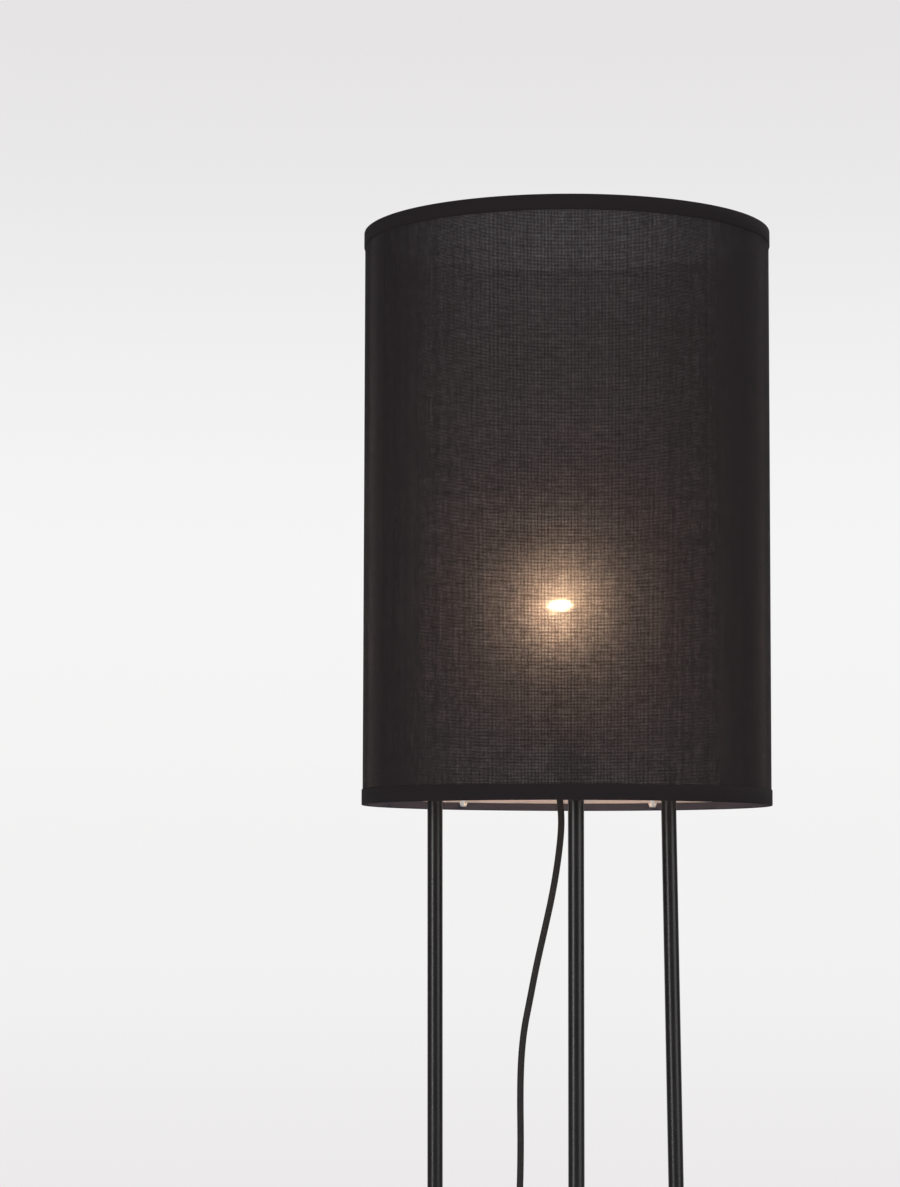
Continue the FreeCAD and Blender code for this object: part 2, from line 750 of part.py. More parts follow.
# A flat band round the turns on one side of the coil
def make_tie(centre):
    innermost = coil_outer_radius - coil_half_turns * coil_pitch / 2 - coil_inner_step / 2 - coil_pitch / 2
    low_y, high_y = innermost - cord_radius, coil_outer_radius + cord_radius
    height = coil_layer_rise + 2 * cord_radius
    corner = Vec(centre.x - tie_width / 2, centre.y + low_y, centre.z - cord_radius)
    blocks = []
    for around, past in ((tie_gap + tie_wall, 0), (tie_gap, cut_over)):
        width = tie_width + 2 * past
        span, rise = high_y - low_y + 2 * around, height + 2 * around
        block = Part.makeBox(width, span, rise, corner - Vec(past, around, around))
        across = [edge for edge in block.Edges if abs(edge.Length - width) < fit_gap]
        blocks.append(block.makeFillet(cord_radius - tie_wall + around - tie_gap, across))
    add("coil_tie", blocks[0].cut(blocks[1]))


def make_plug(tip):
    half, tail, waist = plug_face_width / 2, plug_tail_width / 2, plug_waist_width / 2
    start = tip + Vec(plug_relief_length, 0, 0)
    face_x, rear_x = plug_length, plug_waist_length / 2
    steps = [(0, -tail), (rear_x, -tail), (plug_waist_length, -waist), (face_x - plug_cheek_length, -half),
             (face_x, -half), (face_x, half), (face_x - plug_cheek_length, half), (plug_waist_length, waist),
             (rear_x, tail), (0, tail)]
    face = bounded(steps, lambda x, y: start + Vec(x, y, -plug_thickness / 2))
    body = face.extrude(up * plug_thickness)
    body = body.makeFillet(plug_round, body.Edges)
    along = Vec(1, 0, 0)
    cone_length = plug_relief_length + plug_round
    relief = Part.makeCone(plug_relief_tip_radius, plug_relief_radius, cone_length, tip, along)
    pins = []
    for side in (-1, 1):
        foot = start + Vec(face_x - plug_pin_root, side * plug_pin_pitch / 2, 0)
        length = plug_pin_root + plug_pin_length
        pin = Part.makeCylinder(plug_pin_radius, length, foot, along)
        end = foot.x + length
        pin = pin.makeFillet(plug_pin_round, [e for e in pin.Edges if abs(e.BoundBox.XMin - end) < fit_gap])
        pins.append(pin)
        body = body.cut(Part.makeCylinder(plug_pin_radius + fit_gap, length, foot - along * fit_gap, along))
    add("plug_body", fused([body, relief]))
    add("plug_pins", *pins)


make_base()
make_legs()
make_star()
make_holder()
make_bulb()
make_shade()
coil_centre, cord_end = make_cord()
make_switch()
make_tie(coil_centre)
make_plug(cord_end)

for name, shape in nodes.items():
    box = shape.BoundBox
    print(f"{name:20s} solids {len(shape.Solids)} valid {shape.isValid()} volume {shape.Volume:.1f} "
          f"z {box.ZMin:.2f} to {box.ZMax:.2f}")
    shape.exportStep(f"parts/{name}.step")
print(len(nodes), "nodes; coil centre", coil_centre, "plug starts at", cord_end)
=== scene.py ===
import math

import bmesh
import bpy
from mathutils import Matrix, Vector


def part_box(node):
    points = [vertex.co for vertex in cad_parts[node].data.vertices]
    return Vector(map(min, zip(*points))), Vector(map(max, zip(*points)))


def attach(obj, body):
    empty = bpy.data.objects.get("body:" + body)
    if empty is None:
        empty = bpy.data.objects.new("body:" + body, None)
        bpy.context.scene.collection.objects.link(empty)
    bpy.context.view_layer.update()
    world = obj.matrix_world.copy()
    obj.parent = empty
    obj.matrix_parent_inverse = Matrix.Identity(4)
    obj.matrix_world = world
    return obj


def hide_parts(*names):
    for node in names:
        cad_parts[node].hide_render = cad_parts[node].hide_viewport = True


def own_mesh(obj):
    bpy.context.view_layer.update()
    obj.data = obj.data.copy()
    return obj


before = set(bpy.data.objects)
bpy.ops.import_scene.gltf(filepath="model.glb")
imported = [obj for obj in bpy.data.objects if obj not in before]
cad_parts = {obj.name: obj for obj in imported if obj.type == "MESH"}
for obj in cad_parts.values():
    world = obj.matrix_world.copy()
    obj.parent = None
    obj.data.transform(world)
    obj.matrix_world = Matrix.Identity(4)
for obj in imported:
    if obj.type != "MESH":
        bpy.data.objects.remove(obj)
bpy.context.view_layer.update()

mm = 0.001
fullTurn = 2 * math.pi
mergeGap = 0.001 * mm                        # points closer than this are one
scene = bpy.context.scene


# sRGB hex to the linear colour that the shaders take
def linear(hexCode):
    parts = [int(hexCode[i:i + 2], 16) / 255 for i in (1, 3, 5)]
    return [c / 12.92 if c <= 0.04045 else ((c + 0.055) / 1.055) ** 2.4 for c in parts] + [1.0]


# adds one node; an input is a value or the socket that feeds it
def addNode(tree, kind, inputs=None, **settings):
    node = tree.nodes.new("ShaderNode" + kind)
    for key, value in settings.items():
        setattr(node, key, value)
    for key, value in (inputs or {}).items():
        if isinstance(value, bpy.types.NodeSocket):
            tree.links.new(value, node.inputs[key])
        else:
            node.inputs[key].default_value = value
    return node


def startMaterial(name):
    material = bpy.data.materials.new(name)
    material.use_nodes = True
    material.node_tree.nodes.clear()
    return material, material.node_tree


finishSizes = {
    "broadDetail": 4.0, "fineDetail": 2.0,
    "darkBelow": 0.7, "lightAbove": 1.3,     # the two noises add up to about 1
}


# a solid finish: broad mottling, a fine grain with its bump, and the shader's own constants;
# grain, relief and mottle are in mm
def solidFinish(name, dark, light, roughness, grain, relief, spread=0.06, mottle=40, **constants):
    material, tree = startMaterial(name)
    place = addNode(tree, "TexCoord").outputs["Object"]
    broad = addNode(tree, "TexNoise", {"Vector": place, "Scale": 1 / (mottle * mm),
                                       "Detail": finishSizes["broadDetail"]})
    fine = addNode(tree, "TexNoise", {"Vector": place, "Scale": 1 / (grain * mm),
                                      "Detail": finishSizes["fineDetail"]})
    both = addNode(tree, "Math", {0: broad.outputs[0], 1: fine.outputs[0]}, operation="ADD")
    share = addNode(tree, "MapRange", {"Value": both.outputs[0], "From Min": finishSizes["darkBelow"],
                                       "From Max": finishSizes["lightAbove"]})
    colour = addNode(tree, "Mix", {0: share.outputs[0], 6: linear(dark), 7: linear(light)}, data_type="RGBA")
    rough = addNode(tree, "MapRange", {"Value": share.outputs[0], "To Min": roughness - spread,
                                       "To Max": roughness + spread})
    bump = addNode(tree, "Bump", {"Height": fine.outputs[0], "Strength": 1.0, "Distance": relief * mm})
    shader = addNode(tree, "BsdfPrincipled", {"Base Color": colour.outputs[2], "Roughness": rough.outputs[0],
                                              "Normal": bump.outputs[0], **constants})
    addNode(tree, "OutputMaterial", {"Surface": shader.outputs[0]})
    return material


# a closed section of (radius, height) in metres, turned round the upright axis
def lathe(section, steps):
    bm = bmesh.new()
    chain = [bm.verts.new((r, 0, z)) for r, z in section]
    edges = [bm.edges.new(pair) for pair in zip(chain, chain[1:] + chain[:1])]
    bmesh.ops.spin(bm, geom=chain + edges, cent=(0, 0, 0), axis=(0, 0, 1), angle=fullTurn, steps=steps,
                   use_merge=True)
    bmesh.ops.remove_doubles(bm, verts=bm.verts, dist=mergeGap)
    bmesh.ops.recalc_face_normals(bm, faces=bm.faces)
    return bm


# makes a finished mesh a piece that rides on a body and stands for its nodes
def addPiece(name, bm, body, material, slot, *nodes, sharpOver=35):
    mesh = bpy.data.meshes.new(name)
    bm.to_mesh(mesh)
    bm.free()
    mesh.shade_smooth()
    mesh.set_sharp_from_angle(angle=math.radians(sharpOver))
    mesh.materials.append(material)
    piece = bpy.data.objects.new(name, mesh)
    scene.collection.objects.link(piece)
    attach(piece, body)
    if nodes:
        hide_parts(*nodes)
    return piece


# gives a CAD node its material
def dressNode(node, material):
    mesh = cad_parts[node].data
    mesh.materials.clear()
    mesh.materials.append(material)


# the camera stands where the photo was taken from
cameraSizes = {
    "lens": 103.75, "sensor": 36.0,          # mm, on the picture's long side
    "place": (0, -3.526, 0.9582),
    "pitch": 5.118, "yaw": 1.960, "roll": 0.160,  # degrees
    "clipEnd": 60,
}
camera = bpy.data.objects.new("camera", bpy.data.cameras.new("camera"))
scene.collection.objects.link(camera)
camera.data.lens = cameraSizes["lens"]
camera.data.sensor_width = cameraSizes["sensor"]
camera.data.clip_end = cameraSizes["clipEnd"]
camera.location = cameraSizes["place"]
aimed = (Matrix.Rotation(math.radians(cameraSizes["yaw"]), 3, "Z")
         @ Matrix.Rotation(math.radians(90 + cameraSizes["pitch"]), 3, "X")
         @ Matrix.Rotation(math.radians(cameraSizes["roll"]), 3, "Z"))
camera.rotation_euler = aimed.to_euler()
scene.camera = camera
print("camera placed")

# three soft boxes in a pale room
scene.view_settings.view_transform = "Standard"
lightSizes = {
    # name: place, aimed at, width, height, power in watts
    "leftStrip": ((-2.05, -2.4, 1.45), (0, 0, 0.95), 0.6, 2.3, 46),
    "rightBox": ((2.5, -1.85, 1.5), (0, 0, 0.95), 1.9, 2.3, 34),
    "topBox": ((0.7, 0.5, 3.6), (0, 0, 1.2), 1.6, 1.6, 58),
}
for name, (spot, aim, width, height, power) in lightSizes.items():
    lamp = bpy.data.objects.new(name, bpy.data.lights.new(name, "AREA"))
    lamp.data.shape = "RECTANGLE"
    lamp.data.size, lamp.data.size_y, lamp.data.energy = width, height, power
    lamp.visible_camera = False
    lamp.location = spot
    lamp.rotation_euler = (Vector(aim) - Vector(spot)).to_track_quat("-Z", "Y").to_euler()
    scene.collection.objects.link(lamp)

worldSizes = {
    "ambient": "#bebdc2",
    # backdrop colours by the height of the view direction
    "backdrop": [(-0.10, "#ebe9ea"), (-0.005, "#f3f2f2"), (0.09, "#f5f5f5"), (0.28, "#e5e3e4")],
    # how bright the room behind the camera mirrors, and where the backdrop begins and is whole, towards +Y
    "frontShare": 0.12, "backFrom": 0.5, "backWhole": 0.95,
}
world = bpy.data.worlds.new("paleStudio")
scene.world = world
world.use_nodes = True
tree = world.node_tree
tree.nodes.clear()
way = addNode(tree, "SeparateXYZ", {0: addNode(tree, "TexCoord").outputs["Generated"]})
low, high = worldSizes["backdrop"][0][0], worldSizes["backdrop"][-1][0]
share = addNode(tree, "MapRange", {"Value": way.outputs[2], "From Min": low, "From Max": high}).outputs[0]
fade = addNode(tree, "ValToRGB", {0: share})
fade.color_ramp.interpolation = "EASE"
fade.color_ramp.elements.remove(fade.color_ramp.elements[1])
fade.color_ramp.elements[0].color = linear(worldSizes["backdrop"][0][1])
for level, colour in worldSizes["backdrop"][1:]:
    fade.color_ramp.elements.new((level - low) / (high - low)).color = linear(colour)
rays = addNode(tree, "LightPath")
mirrored = addNode(tree, "Math", {0: rays.outputs["Is Glossy Ray"], 1: rays.outputs["Is Transmission Ray"]},
                   operation="MAXIMUM").outputs[0]
seen = addNode(tree, "Math", {0: rays.outputs["Is Camera Ray"], 1: mirrored}, operation="MAXIMUM").outputs[0]
behind = addNode(tree, "MapRange", {"Value": way.outputs[1], "From Min": worldSizes["backFrom"],
                                    "From Max": worldSizes["backWhole"], "To Min": worldSizes["frontShare"]},
                 interpolation_type="SMOOTHSTEP").outputs[0]
behind = addNode(tree, "Math", {0: behind, 1: rays.outputs["Is Camera Ray"]}, operation="MAXIMUM").outputs[0]
glow = addNode(tree, "Background", {"Color": linear(worldSizes["ambient"]), "Strength": 1.0})
backdrop = addNode(tree, "Background", {"Color": fade.outputs[0], "Strength": behind})
mix = addNode(tree, "MixShader", {0: seen, 1: glow.outputs[0], 2: backdrop.outputs[0]})
addNode(tree, "OutputWorld", {"Surface": mix.outputs[0]})

# a matt round floor that fades into the backdrop from a distance on
floorSizes = {"radius": 3.8, "segments": 128, "fade": 1.2, "colour": "#dedddd", "speckScale": 60.0,
              "roughness": (0.8, 0.9), "gloss": 0.2}
bm = bmesh.new()
bmesh.ops.create_circle(bm, cap_ends=True, radius=floorSizes["radius"], segments=floorSizes["segments"])
mesh = bpy.data.meshes.new("studio_floor")
bm.to_mesh(mesh)
bm.free()
floor = bpy.data.objects.new("studio_floor", mesh)
scene.collection.objects.link(floor)
material, tree = startMaterial("matt floor paint")
place = addNode(tree, "TexCoord").outputs["Object"]
away = addNode(tree, "VectorMath", {0: place}, operation="LENGTH").outputs["Value"]
share = addNode(tree, "MapRange", {"Value": away, "From Min": floorSizes["fade"],
                                   "From Max": floorSizes["radius"]}, interpolation_type="SMOOTHSTEP")
speck = addNode(tree, "TexNoise", {"Vector": place, "Scale": floorSizes["speckScale"]})
rough = addNode(tree, "MapRange", {"Value": speck.outputs[0], "To Min": floorSizes["roughness"][0],
                                   "To Max": floorSizes["roughness"][1]})
paint = addNode(tree, "BsdfPrincipled", {"Base Color": linear(floorSizes["colour"]),
                                         "Roughness": rough.outputs[0],
                                         "Specular IOR Level": floorSizes["gloss"]})
clear = addNode(tree, "BsdfTransparent")
mix = addNode(tree, "MixShader", {0: share.outputs[0], 1: paint.outputs[0], 2: clear.outputs[0]})
addNode(tree, "OutputMaterial", {"Surface": mix.outputs[0]})
mesh.materials.append(material)
print("light and floor made")

asMetal = {"Metallic": 1.0}

# polyester powder coat: satin, with a very fine orange peel that breaks up its highlights
powderCoat = solidFinish("black powder coat", "#161414", "#1c1a1a", 0.32, 0.9, 0.005, spread=0.03,
                         **{"Specular IOR Level": 0.42})
# pressed wool felt: no gloss, loose fibres
feltBlack = solidFinish("pressed black felt", "#141314", "#2a2829", 0.95, 0.6, 0.25, mottle=6, spread=0.03)
# zinc plated steel: bluish grey, lightly clouded
zincSteel = solidFinish("zinc plated steel", "#8d9196", "#b3b6ba", 0.34, 0.5, 0.004, mottle=5, **asMetal)
# moulded thermoset: dense black with a soft polish
holderBlack = solidFinish("moulded black thermoset", "#151515", "#1e1e1f", 0.32, 0.8, 0.006)
# steatite: fired ceramic, cream white and slightly speckled
steatite = solidFinish("fired steatite", "#cfc9bb", "#e4dfd2", 0.45, 0.5, 0.008, mottle=8)
# drawn brass strip with faint tarnish
drawnBrass = solidFinish("drawn brass", "#9a7a3c", "#c3a25c", 0.3, 0.7, 0.004, mottle=6, **asMetal)
# rolled aluminium cap
capAluminium = solidFinish("rolled aluminium", "#a9aaab", "#c8c9ca", 0.33, 0.4, 0.004, mottle=5, **asMetal)
# soft solder: dull, with a lumpy skin
solderTin = solidFinish("solder tin", "#8b8b8c", "#b0b0b1", 0.4, 1.2, 0.05, mottle=3, **asMetal)
# poured black glass between the contact and the cap
vitriteBlack = solidFinish("black vitreous glass", "#08080b", "#111116", 0.12, 1.0, 0.003)
# drawn molybdenum: dark grey metal
molybdenumWire = solidFinish("molybdenum wire", "#5d5d60", "#838387", 0.35, 0.3, 0.002, mottle=3, **asMetal)
# white lacquered steel wire, with the runs that dipping leaves
whiteWire = solidFinish("white lacquered wire", "#d3d1cc", "#ebe9e4", 0.35, 1.5, 0.02, mottle=12)
# soft PVC sheath: matt black, faintly waxy, slightly uneven along its length
cordSheath = solidFinish("soft black sheath", "#231f1e", "#2a2625", 0.6, 0.5, 0.012, mottle=14,
                         **{"Specular IOR Level": 0.2})
# spark eroded ABS moulding: fine even grain
sparkBlack = solidFinish("spark eroded black moulding", "#191819", "#222122", 0.46, 0.35, 0.03, spread=0.05)
# polished tool, so the button is smoother than its case
glossBlack = solidFinish("polished black moulding", "#121213", "#19191a", 0.2, 2.0, 0.004, spread=0.04)
# soft PVC moulded on the cord: dull and slightly waxy
softBlack = solidFinish("soft black moulding", "#1c1b1b", "#262425", 0.6, 0.5, 0.02)
# filled phenolic: opaque buff, faintly clouded
blockPhenolic = solidFinish("moulded phenolic block", "#8f8873", "#aaa28b", 0.5, 0.7, 0.01, mottle=6)
# bright nickel on brass: warm and nearly mirror smooth
nickelPins = solidFinish("nickel plated pins", "#b1aea8", "#d0cdc7", 0.2, 0.6, 0.002, mottle=6, spread=0.03,
                         **asMetal)
# hook tape: a dense pile of tiny loops
hookTape = solidFinish("black hook tape", "#0e0e0f", "#262526", 0.85, 0.45, 0.25, mottle=3)
print("solid finishes made")

# the two lengths of cord, one each side of the foot switch
cordSizes = {
    "diameter": 6.8 * mm,
    "sides": 8, "order": 3, "stepsPerPoint": 6,
    "dropLength": 1.24, "leadLength": 1.20,
    # from the lampholder to the foot switch, in metres
    "drop": [
        (-0.0074, 0, 1.079), (-0.0074, 0, 1.064), (-0.0048, 0.0004, 1.038), (-0.0082, 0, 1.003),
        (-0.0142, -0.0005, 0.966), (-0.0219, 0, 0.931), (-0.0309, 0.001, 0.892), (-0.0376, 0.001, 0.857),
        (-0.0448, 0.0005, 0.821),
        (-0.0478, 0.001, 0.775), (-0.0466, 0.0025, 0.690), (-0.0502, 0.005, 0.606), (-0.048, 0.007, 0.520),
        (-0.0498, 0.0085, 0.433), (-0.0506, 0.007, 0.346), (-0.0478, 0.008, 0.260), (-0.0486, 0.0105, 0.176),
        (-0.0492, 0.0145, 0.102), (-0.0496, 0.023, 0.050), (-0.0505, 0.050, 0.0195), (-0.053, 0.091, 0.0144),
        (-0.0576, 0.127, 0.0154), (-0.0602, 0.153, 0.0215), (-0.0614, 0.176, 0.015), (-0.062, 0.197, 0.0056),
        (-0.062, 0.218, 0.0056),
    ],
    # from the foot switch into the coil
    "lead": [(-0.062, 0.320, 0.0056), (-0.062, 0.330, 0.0056), (-0.062, 0.340, 0.0049)],
    "coilCentre": (-0.015, 0.350, 0.0049),
    "coilRadii": [0.047, 0.04315, 0.0393, 0.03545, 0.02955, 0.02955, 0.03545, 0.0393, 0.04315, 0.047],
    "coilRise": 0.0073,
    "coilStraight": 0.007,
    "pointsPerHalfTurn": 8,
    # from the coil to the plug, counted from the coil's end
    "tail": [(0, -0.008, 0), (0.001, -0.019, -0.001), (0.0055, -0.033, -0.0024), (0.0175, -0.046, -0.0041),
             (0.035, -0.0524, -0.0053), (0.053, -0.0524, -0.0053)],
}


# half turns that go out and in at one level, rise, and come back out over them
def coilPoints(sizes):
    centre, radii = Vector(sizes["coilCentre"]), sizes["coilRadii"]
    count = sizes["pointsPerHalfTurn"]
    layer = len(radii) // 2
    ends = [centre + Vector((-r if i % 2 == 0 else r, 0, sizes["coilRise"] if i >= layer else 0))
            for i, r in enumerate(radii)]
    outward = 1 / math.cos(math.pi / count / 2)  # the spline runs inside its control points
    points = []
    for i, (start, end) in enumerate(zip(ends, ends[1:])):
        middle, half = (start + end) / 2, (end - start).length / 2
        side = 1 if i % 2 == 0 else -1
        for k in range(count):
            share = (k + 0.5) / count
            angle = math.pi * share
            reach = half * outward
            along = (start - middle).normalized()
            level = start.lerp(end, share).z
            sweep = Vector((along.x, 0, 0)) * reach * math.cos(angle)
            swing = Vector((0, side * reach * math.sin(angle), 0))
            points.append(Vector((middle.x, middle.y, level)) + sweep + swing)
    away = ends[-1] - Vector((0, sizes["coilStraight"], 0))
    return points, away


# a round cord on one smooth curve that stands for its CAD nodes
def addCord(name, points, body, nodes):
    data = bpy.data.curves.new(name, "CURVE")
    data.dimensions = "3D"
    spline = data.splines.new("NURBS")
    spline.points.add(len(points) - 1)
    for point, place in zip(spline.points, points):
        point.co = (*place, 1)
    spline.order_u = cordSizes["order"]
    spline.use_endpoint_u = True
    spline.resolution_u = cordSizes["stepsPerPoint"]
    data.bevel_depth = cordSizes["diameter"] / 2
    data.bevel_resolution = cordSizes["sides"] // 2
    data.use_fill_caps = True
    data.materials.append(cordSheath)
    piece = bpy.data.objects.new(name, data)
    scene.collection.objects.link(piece)
    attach(piece, body)
    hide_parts(*nodes)
    return piece


dropCord = addCord("lamp_cord", cordSizes["drop"], "stand", ["cord_drop"])
turns, coilEnd = coilPoints(cordSizes)
tail = [coilEnd + Vector(point) for point in cordSizes["tail"]]
leadRoute = cordSizes["lead"] + turns + [coilEnd] + tail
leadCord = addCord("supply_cord", leadRoute, "stand", ["cord_coil", "cord_tail"])
print("cords laid")

# the shade: cloth glued to a film, and a tape folded over each rim
shadeLow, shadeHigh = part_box("trim_bottom")[0].z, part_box("trim_top")[1].z
shadeSizes = {
    "radius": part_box("shade_fabric")[1].x,
    "clothWall": 0.37 * mm,
    "filmInset": 0.7 * mm,
    "edge": 0.7 * mm,                     # the cloth ends this far inside each trim
    "segments": 256, "lapSegments": 1024, "trimSegments": 720, "rows": 24,
    "lowTrimHeight": 16 * mm, "highTrimHeight": 15.2 * mm, "trimWall": 0.9 * mm, "trimProud": 1.0 * mm,
    "foldHeight": 8 * mm, "foldWall": 0.4 * mm, "foldInset": 5.8 * mm,
    # a trim's section in mm: across from its outer face or from the inside of its fold, and up from the rim
    "bandRound": [(0, 6), (0, 0.8), (-0.2, 0.3), (-0.7, 0.02), (-2, 0)],
    "foldRound": [(0.8, 0.02), (0.2, 0.3), (0, 0.9)],
    "bandTop": (0.25 * mm, 0.3 * mm),        # the chamfer at the band's free edge
    "hollowFloor": 0.65 * mm, "hollowFold": (1.3 * mm, 1.8 * mm), "hollowBand": (1.4 * mm, 1.4 * mm),
    # where the six wires leave through the lower fold, in degrees from the front towards +X
    "notches": [3 + eyelet + side for eyelet in (0, 120, 240) for side in (-30, 30)],
    "notchHalfAngle": 1.1, "notchFloor": 3.2 * mm,
    # the cloth and the tapes overlap at the back: middle and width in degrees, and how far the lap stands out
    "clothLap": (180, 3.4, 0.3 * mm), "clothLapWall": 0.25 * mm,
    "tapeLap": (186, 4.2, 0.5 * mm), "tapeLapDepth": 0.75 * mm,
}
# plain cotton weave: two crossing sets of threads, each of its own thickness and with slubs along it
clothSizes = {
    "pitch": 1.4 * mm,                       # real threads are too fine to show, so these are drawn coarser
    "wander": 0.2 * mm, "wanderGain": 4,     # a noise strays about a quarter from its middle
    "detail": 3.0, "streakDetail": 4.0,
    "threadShare": 0.55, "threadSpread": 0.06,
    # how much the threads vary: the upright ones, then the level ones
    "slubLength": 12 * mm, "slub": (0.6, 0.8),
    "streakLength": 30 * mm, "streakWidth": 2.4 * mm, "streak": (0.08, 0.18),
    "edge": 0.12,                            # softness of a thread's side, as a share of the pitch
    "swayLength": 9 * mm, "rowStep": 7.31, "slubSeed": 31.0, "streakSeed": 17.0,
    # painted shade: the threads are coloured dark where they dip between their neighbours and light on their
    # crowns
    "dark": "#1a1718", "light": "#282425",
    "crown": 0.15 * mm, "crownShare": 0.5,   # the bump of a thread
    "roughness": (0.98, 0.88), "gloss": 0.08,
}


# woven threads across and along; light goes through the gaps between them where the cloth is sheer
def clothMaterial(name, sizes, sheer):
    material, tree = startMaterial(name)
    wrap = addNode(tree, "UVMap", uv_map="cloth").outputs[0]
    sway = addNode(tree, "TexNoise", {"Vector": wrap, "Scale": 1 / sizes["swayLength"],
                                      "Detail": sizes["detail"]})
    shift = addNode(tree, "VectorMath", {0: sway.outputs["Color"], 1: (0.5, 0.5, 0.5)}, operation="SUBTRACT")
    reach = sizes["wanderGain"] * sizes["wander"]
    shift = addNode(tree, "VectorMath", {0: shift.outputs[0], "Scale": reach}, operation="SCALE")
    moved = addNode(tree, "VectorMath", {0: wrap, 1: shift.outputs[0]}, operation="ADD")
    split = addNode(tree, "SeparateXYZ", {0: moved.outputs[0]})
    gaps, crowns = [], []
    for across, along in ((0, 1), (1, 0)):
        phase = addNode(tree, "Math", {0: split.outputs[across], 1: sizes["pitch"]},
                        operation="DIVIDE").outputs[0]
        thread = addNode(tree, "Math", {0: phase}, operation="FLOOR").outputs[0]
        inside = addNode(tree, "Math", {0: phase, 1: thread}, operation="SUBTRACT").outputs[0]
        own = addNode(tree, "TexWhiteNoise", {"W": thread}, noise_dimensions="1D").outputs["Value"]
        run = addNode(tree, "Math", {0: split.outputs[along], 1: 1 / sizes["slubLength"]},
                      operation="MULTIPLY")
        row = addNode(tree, "Math", {0: thread, 1: sizes["rowStep"]}, operation="MULTIPLY")
        track = addNode(tree, "CombineXYZ", {0: run.outputs[0], 1: row.outputs[0],
                                             2: sizes["slubSeed"] * across}).outputs[0]
        slub = addNode(tree, "TexNoise", {"Vector": track, "Scale": 1.0,
                                          "Detail": sizes["detail"]}).outputs[0]
        run = addNode(tree, "Math", {0: split.outputs[along], 1: 1 / sizes["streakLength"]},
                      operation="MULTIPLY")
        row = addNode(tree, "Math", {0: split.outputs[across], 1: 1 / sizes["streakWidth"]},
                      operation="MULTIPLY")
        track = addNode(tree, "CombineXYZ", {0: run.outputs[0], 1: row.outputs[0],
                                             2: sizes["streakSeed"] + across}).outputs[0]
        streak = addNode(tree, "TexNoise", {"Vector": track, "Scale": 1.0,
                                            "Detail": sizes["streakDetail"]}).outputs[0]
        half = sizes["threadShare"] / 2
        width = addNode(tree, "MapRange", {"Value": own, "To Min": half - sizes["threadSpread"] / 2,
                                           "To Max": half + sizes["threadSpread"] / 2}).outputs[0]
        # each noise adds a quarter of its amount on average, and that is taken off again
        swing = (sizes["slub"][across], sizes["streak"][across])
        for noise, amount in zip((slub, streak), swing):
            width = addNode(tree, "Math", {0: noise, 1: amount / 2, 2: width},
                            operation="MULTIPLY_ADD").outputs[0]
        width = addNode(tree, "Math", {0: width, 1: sum(swing) / 4}, operation="SUBTRACT").outputs[0]
        away = addNode(tree, "Math", {0: inside, 1: 0.5}, operation="SUBTRACT").outputs[0]
        away = addNode(tree, "Math", {0: away}, operation="ABSOLUTE").outputs[0]
        free = addNode(tree, "Math", {0: away, 1: width}, operation="SUBTRACT").outputs[0]
        gaps.append(addNode(tree, "MapRange", {"Value": free, "From Min": -sizes["edge"],
                                               "From Max": sizes["edge"]}).outputs[0])
        crowns.append(addNode(tree, "Math", {0: 0.5, 1: away}, operation="SUBTRACT").outputs[0])
    # painted shade in the weave: the colour darkens towards the sides of each thread and lightens on its
    # crown
    crown = addNode(tree, "Math", {0: crowns[0], 1: crowns[1]}, operation="ADD").outputs[0]
    colour = addNode(tree, "Mix", {0: crown, 6: linear(sizes["dark"]), 7: linear(sizes["light"])},
                     data_type="RGBA")
    bump = addNode(tree, "Bump", {"Height": crown, "Strength": sizes["crownShare"],
                                  "Distance": sizes["crown"]})
    rough = addNode(tree, "MapRange", {"Value": crown, "To Min": sizes["roughness"][0],
                                       "To Max": sizes["roughness"][1]}).outputs[0]
    shader = addNode(tree, "BsdfPrincipled", {"Base Color": colour.outputs[2], "Roughness": rough,
                                              "Specular IOR Level": sizes["gloss"],
                                              "Normal": bump.outputs[0]})
    result = shader.outputs[0]
    if sheer:
        hole = addNode(tree, "Math", {0: gaps[0], 1: gaps[1]}, operation="MULTIPLY").outputs[0]
        clear = addNode(tree, "BsdfTransparent")
        result = addNode(tree, "MixShader", {0: hole, 1: result, 2: clear.outputs[0]}).outputs[0]
    addNode(tree, "OutputMaterial", {"Surface": result})
    return material


# frosted white film, glued to the cloth: most light is thrown back inside, and some goes out in lobes of
# several widths, so the lit bulb shows as a small core in a halo
filmSizes = {
    "inside": "#d9d9de", "through": "#e6e6ea", "glued": "#5c5c5f",
    "diffusing": 0.045, "straight": 0.07, "backRoughness": 0.3,
    "cloud": 18 * mm, "cloudSpread": 0.15, "cloudDetail": 4.0,  # how uneven the frosting is
    # share of the light, roughness, IOR: a faint wide lobe, the halo and the core; the nearer the IOR is
    # to 1, the narrower the lobe, and below 1 it fades towards the sides of the drum
    "lobes": [(0.02, 0.67, 1.6), (0.235, 0.86, 0.75), (0.006, 0.36, 1.12)],
}


